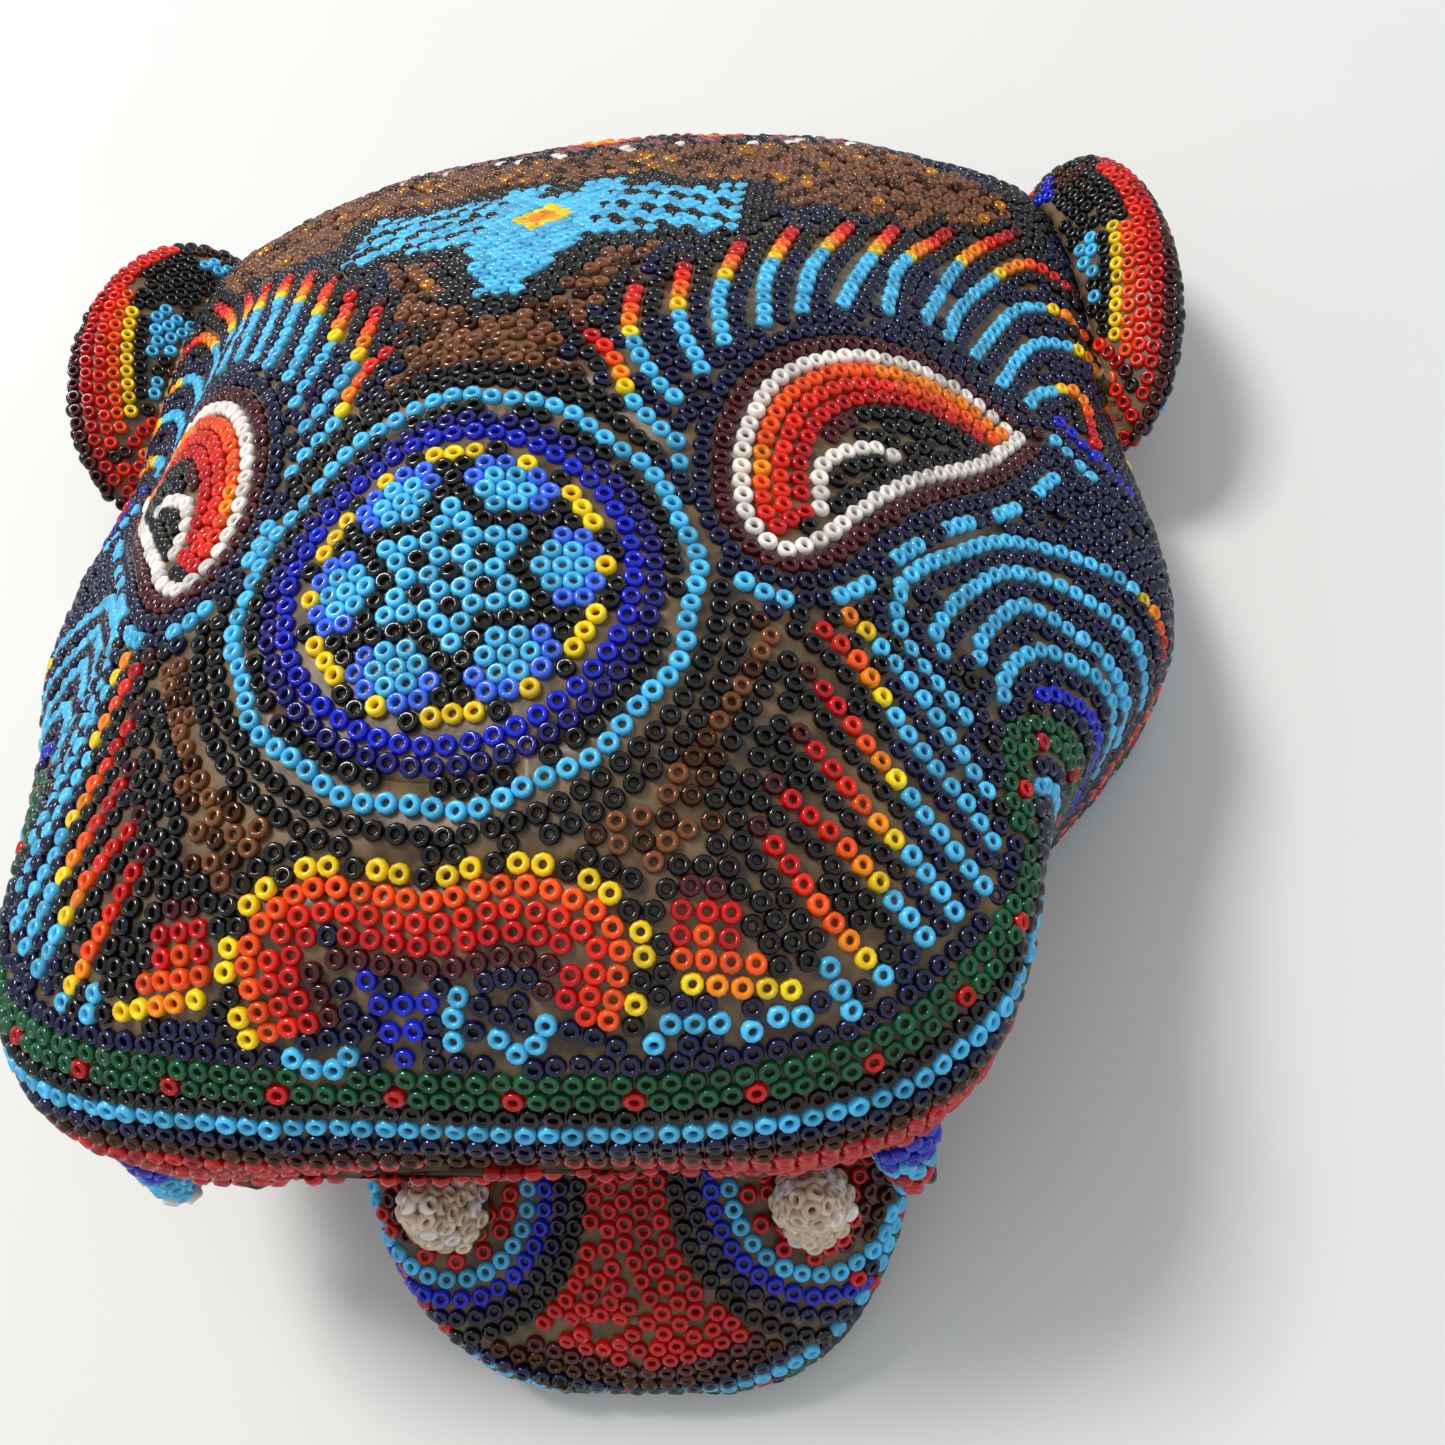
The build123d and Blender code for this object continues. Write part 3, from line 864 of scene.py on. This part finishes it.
def make_beads(context, node):
    """All beads of one pattern as one mesh.

    A bead is its profile turned about its axis: (r cos t, r sin t, h). Every bead's own frame has its
    axis on the surface normal, and its size and tilt vary a little.
    """
    settings = context.scene.beadwork
    layout = beadwork(settings)
    number = layout["board"].nodes.index(node)
    chosen = np.flatnonzero(layout["node"] == number)
    draw = np.random.default_rng(BEAD_SEED + number)
    count = len(chosen)
    axis = layout["axis"][chosen] + draw.normal(0, settings.tilt, (count, 3))
    axis /= np.linalg.norm(axis, axis=1)[:, None]
    helper = np.where(np.abs(axis[:, :1]) < 0.7, [[1.0, 0, 0]], [[0, 1.0, 0]])
    first = np.cross(axis, helper)
    first /= np.linalg.norm(first, axis=1)[:, None]
    second = np.cross(axis, first)
    sides = settings.sides if count < settings.many else settings.fewer_sides
    profile = bead_profile(settings)
    rings = len(profile)
    turn = np.arange(sides) * 2 * math.pi / sides
    radius, height = profile[:, 0], profile[:, 1]
    x = np.outer(np.cos(turn), radius)
    y = np.outer(np.sin(turn), radius)
    z = np.broadcast_to(height, (sides, rings))
    size = 1 + draw.normal(0, 0.018, count).clip(-0.05, 0.05)
    tall = 1 + draw.normal(0, 0.06, count).clip(-0.14, 0.14)
    foot = -settings.bead_height - settings.sink
    centre = layout["at"][chosen] * MM + axis * foot
    points = (centre[:, None, None] + first[:, None, None] * (x[None, :, :, None] * size[:, None, None, None])
              + second[:, None, None] * (y[None, :, :, None] * size[:, None, None, None])
              + axis[:, None, None] * (z[None, :, :, None] * tall[:, None, None, None]))
    side, ring = np.meshgrid(np.arange(sides), np.arange(rings), indexing="ij")
    after, above = (side + 1) % sides, (ring + 1) % rings
    quad = np.stack([side * rings + ring, side * rings + above, after * rings + above, after * rings + ring],
                    axis=-1)
    quads = (quad.reshape(1, -1, 4) + (np.arange(count) * sides * rings)[:, None, None]).reshape(-1, 4)
    mesh = bpy.data.meshes.new(node + "_glass")
    mesh.vertices.add(count * sides * rings)
    mesh.vertices.foreach_set("co", points.reshape(-1))
    mesh.loops.add(len(quads) * 4)
    mesh.loops.foreach_set("vertex_index", quads.reshape(-1))
    mesh.polygons.add(len(quads))
    mesh.polygons.foreach_set("loop_start", np.arange(len(quads)) * 4)
    mesh.update(calc_edges=True)
    letters = sorted(set(layout["code"][chosen].tolist()))
    for letter in letters:
        for tone_number, tone in enumerate(TONES):
            mesh.materials.append(glass_material(letter, tone, tone_number))
    index = np.array([letters.index(code) for code in layout["code"][chosen]]) * len(TONES)
    index = index + draw.choice(len(TONES), count, p=(0.25, 0.5, 0.25))
    mesh.polygons.foreach_set("material_index", np.repeat(index, sides * rings))
    mesh.polygons.foreach_set("use_smooth", np.ones(len(quads), bool))
    mesh.update()
    add_piece(context, node, "_strung", mesh)


def add_piece(context, node, ending, mesh):
    """The mesh as a piece that stands for its CAD node and rides on the one body."""
    piece = bpy.data.objects.new(node + ending, mesh)
    context.scene.collection.objects.link(piece)
    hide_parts(node)
    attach(piece, "root")
    return piece


def grain_group():
    """Shader group: long rings of wood grain as a mask, from noise stretched along one axis."""
    group = bpy.data.node_groups.new("Carved Grain", "ShaderNodeTree")
    group.interface.new_socket("Scale", in_out="INPUT", socket_type="NodeSocketFloat").default_value = 120.0
    group.interface.new_socket("Grain", in_out="OUTPUT", socket_type="NodeSocketFloat")
    nodes, links = group.nodes, group.links
    start, end = nodes.new("NodeGroupInput"), nodes.new("NodeGroupOutput")
    place = nodes.new("ShaderNodeTexCoord")
    stretch = nodes.new("ShaderNodeMapping")
    noise = nodes.new("ShaderNodeTexNoise")
    stretch.inputs["Scale"].default_value = (1, 0.08, 1)
    noise.inputs["Detail"].default_value = 5
    links.new(place.outputs["Object"], stretch.inputs["Vector"])
    links.new(stretch.outputs["Vector"], noise.inputs["Vector"])
    links.new(start.outputs["Scale"], noise.inputs["Scale"])
    links.new(noise.outputs["Fac"], end.inputs["Grain"])
    return group


def mottled_material(name, dark, pale, scale, rough, bump, group=None):
    """Two colours mixed by noise, or by a group's mask, with the same mask as a fine bump."""
    material = bpy.data.materials.new(name)
    material.use_nodes = True
    nodes, links = material.node_tree.nodes, material.node_tree.links
    shader = nodes["Principled BSDF"]
    if group:
        source = nodes.new("ShaderNodeGroup")
        source.node_tree = group
        source.inputs["Scale"].default_value = scale
        mask = source.outputs["Grain"]
    else:
        place, source = nodes.new("ShaderNodeTexCoord"), nodes.new("ShaderNodeTexNoise")
        source.inputs["Scale"].default_value = scale
        source.inputs["Detail"].default_value = 4
        links.new(place.outputs["Object"], source.inputs["Vector"])
        mask = source.outputs["Fac"]
    ramp = nodes.new("ShaderNodeValToRGB")
    ramp.color_ramp.elements[0].position, ramp.color_ramp.elements[0].color = 0.35, (*dark, 1)
    ramp.color_ramp.elements[1].position, ramp.color_ramp.elements[1].color = 0.65, (*pale, 1)
    links.new(mask, ramp.inputs["Fac"])
    links.new(ramp.outputs["Color"], shader.inputs["Base Color"])
    height = nodes.new("ShaderNodeBump")
    height.inputs["Strength"].default_value = bump
    height.inputs["Distance"].default_value = 0.0004
    links.new(mask, height.inputs["Height"])
    links.new(height.outputs["Normal"], shader.inputs["Normal"])
    shader.inputs["Roughness"].default_value = rough
    shader.inputs["Base Color"].default_value = (*pale, 1)
    return material


def make_core(context, node, material):
    """The carved wood: the CAD core's own mesh, with every corner kept a set depth under the beads' surface.

    A corner's height is its distance from the nearest skin face along that face's normal; where it is
    above minus the depth, the corner moves back down that normal.
    """
    settings = context.scene.beadwork
    board = beadwork(settings)["board"]
    corners = np.round(triangles_of(node).reshape(-1, 3), 4)
    places, index = np.unique(corners, axis=0, return_inverse=True)
    found = [board.skin.find_nearest(place)[:2] for place in places.tolist()]
    nearest = np.array([tuple(f[0]) for f in found])
    normal = np.array([tuple(f[1]) for f in found])
    height = np.einsum("ij,ij->i", places - nearest, normal)
    depth = settings.wood_depth / MM
    places = places - normal * np.maximum(height + depth, 0)[:, None]
    places[:, 2] = np.maximum(places[:, 2], 0)
    mesh = bpy.data.meshes.new(node + "_carved")
    mesh.from_pydata(places * MM, [], index.reshape(-1, 3))
    mesh.validate()
    mesh.materials.append(material)
    mesh.update()
    add_piece(context, node, "_carved", mesh)


def make_wax(context, node, material):
    """A coat of wax: the beads' outer surface moved inwards along its normals, and given its thickness."""
    settings = context.scene.beadwork
    board = beadwork(settings)["board"]
    backed = [number for number, name in enumerate(board.nodes) if family(name, "wax") == node]
    corners = board.faces[np.isin(board.owner, backed)].reshape(-1, 3) * MM
    mesh = bpy.data.meshes.new(node + "_coat")
    mesh.from_pydata(corners, [], np.arange(len(corners)).reshape(-1, 3))
    shell = bmesh.new()
    shell.from_mesh(mesh)
    bmesh.ops.remove_doubles(shell, verts=shell.verts, dist=settings.weld)
    shell.to_mesh(mesh)
    shell.free()
    count = len(mesh.vertices)
    place, normal = np.empty(count * 3), np.empty(count * 3)
    mesh.vertices.foreach_get("co", place)
    mesh.vertex_normals.foreach_get("vector", normal)
    mesh.vertices.foreach_set("co", place - normal * settings.wax_depth)
    mesh.polygons.foreach_set("use_smooth", np.ones(len(mesh.polygons), bool))
    mesh.materials.append(material)
    mesh.update()
    piece = add_piece(context, node, "_coat", mesh)
    wall = piece.modifiers.new("wall", "SOLIDIFY")
    wall.thickness = settings.wax_wall
    wall.offset = -1


class BeadworkSettings(bpy.types.PropertyGroup):
    bead_diameter: bpy.props.FloatProperty(
        name="Bead Diameter", description="Outer diameter of a seed bead",
        default=0.00212, unit="LENGTH")
    hole_diameter: bpy.props.FloatProperty(
        name="Hole Diameter", description="Diameter of a bead's hole",
        default=0.00080, unit="LENGTH")
    bead_height: bpy.props.FloatProperty(
        name="Bead Height", description="Height of a bead along its hole",
        default=0.0014, unit="LENGTH")
    pitch: bpy.props.FloatProperty(
        name="Pitch", description="Distance between the middles of two beads in a row",
        default=0.00215, unit="LENGTH")
    sink: bpy.props.FloatProperty(
        name="Sink", description="How far the beads are pressed into the wax",
        default=0.0, unit="LENGTH")
    tilt: bpy.props.FloatProperty(
        name="Tilt", description="Spread of the beads' axes, as a tangent",
        default=0.07)
    wax_depth: bpy.props.FloatProperty(
        name="Wax Depth", description="How far the wax lies below the beads' tops",
        default=0.00080, unit="LENGTH")
    wood_depth: bpy.props.FloatProperty(
        name="Wood Depth", description="How far the wood lies below the beads' tops",
        default=0.0021, unit="LENGTH")
    wax_wall: bpy.props.FloatProperty(
        name="Wax Wall", description="Thickness of the shown coat of wax",
        default=0.0008, unit="LENGTH")
    weld: bpy.props.FloatProperty(
        name="Weld", description="Corners closer than this are joined",
        default=0.00001, unit="LENGTH")
    sides: bpy.props.IntProperty(name="Sides", description="Flats round each bead", default=10)
    fewer_sides: bpy.props.IntProperty(
        name="Fewer Sides", description="Flats round each bead of a very large piece",
        default=8)
    many: bpy.props.IntProperty(
        name="Many", description="Beads that make a piece a very large one",
        default=1600)


class StageSettings(bpy.types.PropertyGroup):
    floor_colour: bpy.props.FloatVectorProperty(
        name="Floor Colour", description="Colour of the table",
        size=3, subtype="COLOR", default=(0.76, 0.77, 0.74))
    floor_size: bpy.props.FloatProperty(
        name="Floor Size", description="Side of the table top",
        default=6.0, unit="LENGTH")
    key_power: bpy.props.FloatProperty(
        name="Key Power", description="Power of the large window light",
        default=7.0, unit="POWER")
    world_strength: bpy.props.FloatProperty(
        name="Room Light", description="Strength of the even light",
        default=0.62)
    lens: bpy.props.FloatProperty(name="Lens", description="Focal length in millimetres", default=35.3)


class BEADWORK_OT_wood(bpy.types.Operator):
    """Make the carved cores in bare wood"""
    bl_idname = "beadwork.wood"
    bl_label = "Carved Wood"

    def execute(self, context):
        wood = mottled_material("carved_softwood", (0.20, 0.10, 0.045), (0.48, 0.30, 0.16), 90.0, 0.62, 0.5,
                                grain_group())
        for node in sorted(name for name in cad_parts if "_core" in name):
            make_core(context, node, wood)
        return {"FINISHED"}


class BEADWORK_OT_wax(bpy.types.Operator):
    """Make the coats of beeswax under the beads"""
    bl_idname = "beadwork.wax"
    bl_label = "Beeswax"

    def execute(self, context):
        wax = mottled_material("brown_beeswax", (0.055, 0.032, 0.014), (0.19, 0.12, 0.055), 300.0, 0.45, 0.6)
        for node in sorted(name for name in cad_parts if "_wax" in name):
            make_wax(context, node, wax)
        return {"FINISHED"}


class BeadPieces:
    """Shared by the operators that each make the beads of a few CAD nodes."""

    nodes = ()

    def execute(self, context):
        for node in self.nodes:
            make_beads(context, node)
        return {"FINISHED"}


def sides_of(name):
    return (f"{name}_right", f"{name}_left")


class BEADWORK_OT_nose_disc(BeadPieces, bpy.types.Operator):
    """Bead the star disc on the bridge of the nose"""
    bl_idname = "beadwork.nose_disc"
    bl_label = "Nose Disc"
    nodes = ("nose_disc_beads",)


class BEADWORK_OT_nose_pad(BeadPieces, bpy.types.Operator):
    """Bead the arched pad at the tip of the nose"""
    bl_idname = "beadwork.nose_pad"
    bl_label = "Nose Pad"
    nodes = ("nose_pad_beads",)


class BEADWORK_OT_lip(BeadPieces, bpy.types.Operator):
    """Bead the rows along the upper lip"""
    bl_idname = "beadwork.lip"
    bl_label = "Lip Band"
    nodes = ("lip_band_beads",)


class BEADWORK_OT_mouth(BeadPieces, bpy.types.Operator):
    """Bead the roof and the floor of the mouth"""
    bl_idname = "beadwork.mouth"
    bl_label = "Mouth"
    nodes = ("mouth_roof_beads", "mouth_floor_beads")


class BEADWORK_OT_eyes(BeadPieces, bpy.types.Operator):
    """Bead both eyes"""
    bl_idname = "beadwork.eyes"
    bl_label = "Eyes"
    nodes = sides_of("eye_beads")


class BEADWORK_OT_brows(BeadPieces, bpy.types.Operator):
    """Bead the striped brows"""
    bl_idname = "beadwork.brows"
    bl_label = "Brows"
    nodes = sides_of("brow_beads")


class BEADWORK_OT_cheeks(BeadPieces, bpy.types.Operator):
    """Bead the arcs over the cheeks"""
    bl_idname = "beadwork.cheeks"
    bl_label = "Cheeks"
    nodes = sides_of("cheek_beads")


class BEADWORK_OT_muzzle(BeadPieces, bpy.types.Operator):
    """Bead the fans on both sides of the muzzle"""
    bl_idname = "beadwork.muzzle"
    bl_label = "Muzzle"
    nodes = sides_of("muzzle_beads")


class BEADWORK_OT_temples(BeadPieces, bpy.types.Operator):
    """Bead the temples and the sides of the head"""
    bl_idname = "beadwork.temples"
    bl_label = "Temples"
    nodes = sides_of("temple_beads")


class BEADWORK_OT_forehead(BeadPieces, bpy.types.Operator):
    """Bead the brown ground and the bird on the forehead"""
    bl_idname = "beadwork.forehead"
    bl_label = "Forehead"
    nodes = ("forehead_beads", "forehead_bird_beads")


class BEADWORK_OT_crown(BeadPieces, bpy.types.Operator):
    """Bead the flame border along the crown"""
    bl_idname = "beadwork.crown"
    bl_label = "Crown Band"
    nodes = ("crown_band_beads",)


class BEADWORK_OT_ears(BeadPieces, bpy.types.Operator):
    """Bead both ears"""
    bl_idname = "beadwork.ears"
    bl_label = "Ears"
    nodes = sides_of("ear_beads")


class BEADWORK_OT_canines(BeadPieces, bpy.types.Operator):
    """Bead the upper and lower canines"""
    bl_idname = "beadwork.canines"
    bl_label = "Canines"
    nodes = sides_of("upper_fang_beads") + sides_of("lower_fang_beads")


class BEADWORK_OT_jaw(BeadPieces, bpy.types.Operator):
    """Bead the rim and the underside of the jaw"""
    bl_idname = "beadwork.jaw"
    bl_label = "Jaw"
    nodes = ("jaw_rim_beads",)


def area_light(context, name, place, aim, size, power, colour):
    """A square soft light at place that looks at aim."""
    lamp = bpy.data.lights.new(name, "AREA")
    lamp.size, lamp.energy, lamp.color = size, power, colour
    thing = bpy.data.objects.new(name, lamp)
    thing.location = place
    thing.rotation_euler = (Vector(aim) - Vector(place)).to_track_quat("-Z", "Y").to_euler()
    context.scene.collection.objects.link(thing)


class BEADWORK_OT_stage(bpy.types.Operator):
    """Set the pale table, the soft lights and the camera"""
    bl_idname = "beadwork.stage"
    bl_label = "Stage"

    def execute(self, context):
        stage = context.scene.beadwork_stage
        half = stage.floor_size / 2
        mesh = bpy.data.meshes.new("table_top")
        corners = [(-half, -half, 0), (half, -half, 0), (half, half, 0), (-half, half, 0)]
        mesh.from_pydata(corners, [], [(0, 1, 2, 3)])
        table = bpy.data.objects.new("table_top", mesh)
        pale = tuple(stage.floor_colour)
        darker = tuple(c * 0.96 for c in pale)
        mesh.materials.append(mottled_material("pale_table", darker, pale, 6.0, 0.55, 0.0))
        context.scene.collection.objects.link(table)
        area_light(context, "window", (-0.40, 0.30, 0.85), (0, -0.02, 0.03), 0.26, stage.key_power,
                   (1, 0.98, 0.95))
        context.scene.view_settings.view_transform = "Standard"
        world = bpy.data.worlds.new("room")
        world.use_nodes = True
        world.node_tree.nodes["Background"].inputs["Color"].default_value = (0.93, 0.96, 1.0, 1)
        world.node_tree.nodes["Background"].inputs["Strength"].default_value = stage.world_strength
        context.scene.world = world
        view = bpy.data.cameras.new("view")
        view.sensor_width = 36
        view.lens = stage.lens
        view.clip_start = 0.01
        camera = bpy.data.objects.new("view", view)
        right = Vector(CAMERA_RIGHT).normalized()
        forward = Vector(CAMERA_LOOK)
        forward = (forward - right * forward.dot(right)).normalized()
        up = right.cross(forward)
        turn = np.array([right, up, -forward]).T
        matrix = np.eye(4)
        matrix[:3, :3] = turn
        matrix[:3, 3] = np.array(CAMERA_PLACE) * MM
        camera.matrix_world = Matrix(matrix.tolist())
        context.scene.collection.objects.link(camera)
        context.scene.camera = camera
        return {"FINISHED"}


class BEADWORK_PT_panel(bpy.types.Panel):
    bl_label = "Beadwork"
    bl_space_type = "VIEW_3D"
    bl_region_type = "UI"
    bl_category = "Beadwork"

    def draw(self, context):
        for name in ("bead_diameter", "hole_diameter", "bead_height", "pitch", "sink", "tilt", "sides"):
            self.layout.prop(context.scene.beadwork, name)
        for name in ("floor_colour", "floor_size", "key_power", "world_strength", "lens"):
            self.layout.prop(context.scene.beadwork_stage, name)
        for operator in OPERATORS:
            self.layout.operator(operator.bl_idname)


OPERATORS = (
    BEADWORK_OT_stage, BEADWORK_OT_wood, BEADWORK_OT_wax, BEADWORK_OT_nose_disc, BEADWORK_OT_nose_pad,
    BEADWORK_OT_lip, BEADWORK_OT_mouth, BEADWORK_OT_eyes, BEADWORK_OT_brows, BEADWORK_OT_cheeks,
    BEADWORK_OT_muzzle, BEADWORK_OT_temples, BEADWORK_OT_forehead, BEADWORK_OT_crown, BEADWORK_OT_ears,
    BEADWORK_OT_canines, BEADWORK_OT_jaw,
)
CLASSES = (BeadworkSettings, StageSettings) + OPERATORS + (BEADWORK_PT_panel,)


def register():
    for cls in CLASSES:
        bpy.utils.register_class(cls)
    bpy.types.Scene.beadwork = bpy.props.PointerProperty(type=BeadworkSettings)
    bpy.types.Scene.beadwork_stage = bpy.props.PointerProperty(type=StageSettings)


def unregister():
    del bpy.types.Scene.beadwork_stage
    del bpy.types.Scene.beadwork
    for cls in reversed(CLASSES):
        bpy.utils.unregister_class(cls)


def main():
    """Make the whole head and its stage."""
    register()
    for operator in OPERATORS:
        group, name = operator.bl_idname.split(".")
        getattr(getattr(bpy.ops, group), name)()


if __name__ == "__main__":
    main()
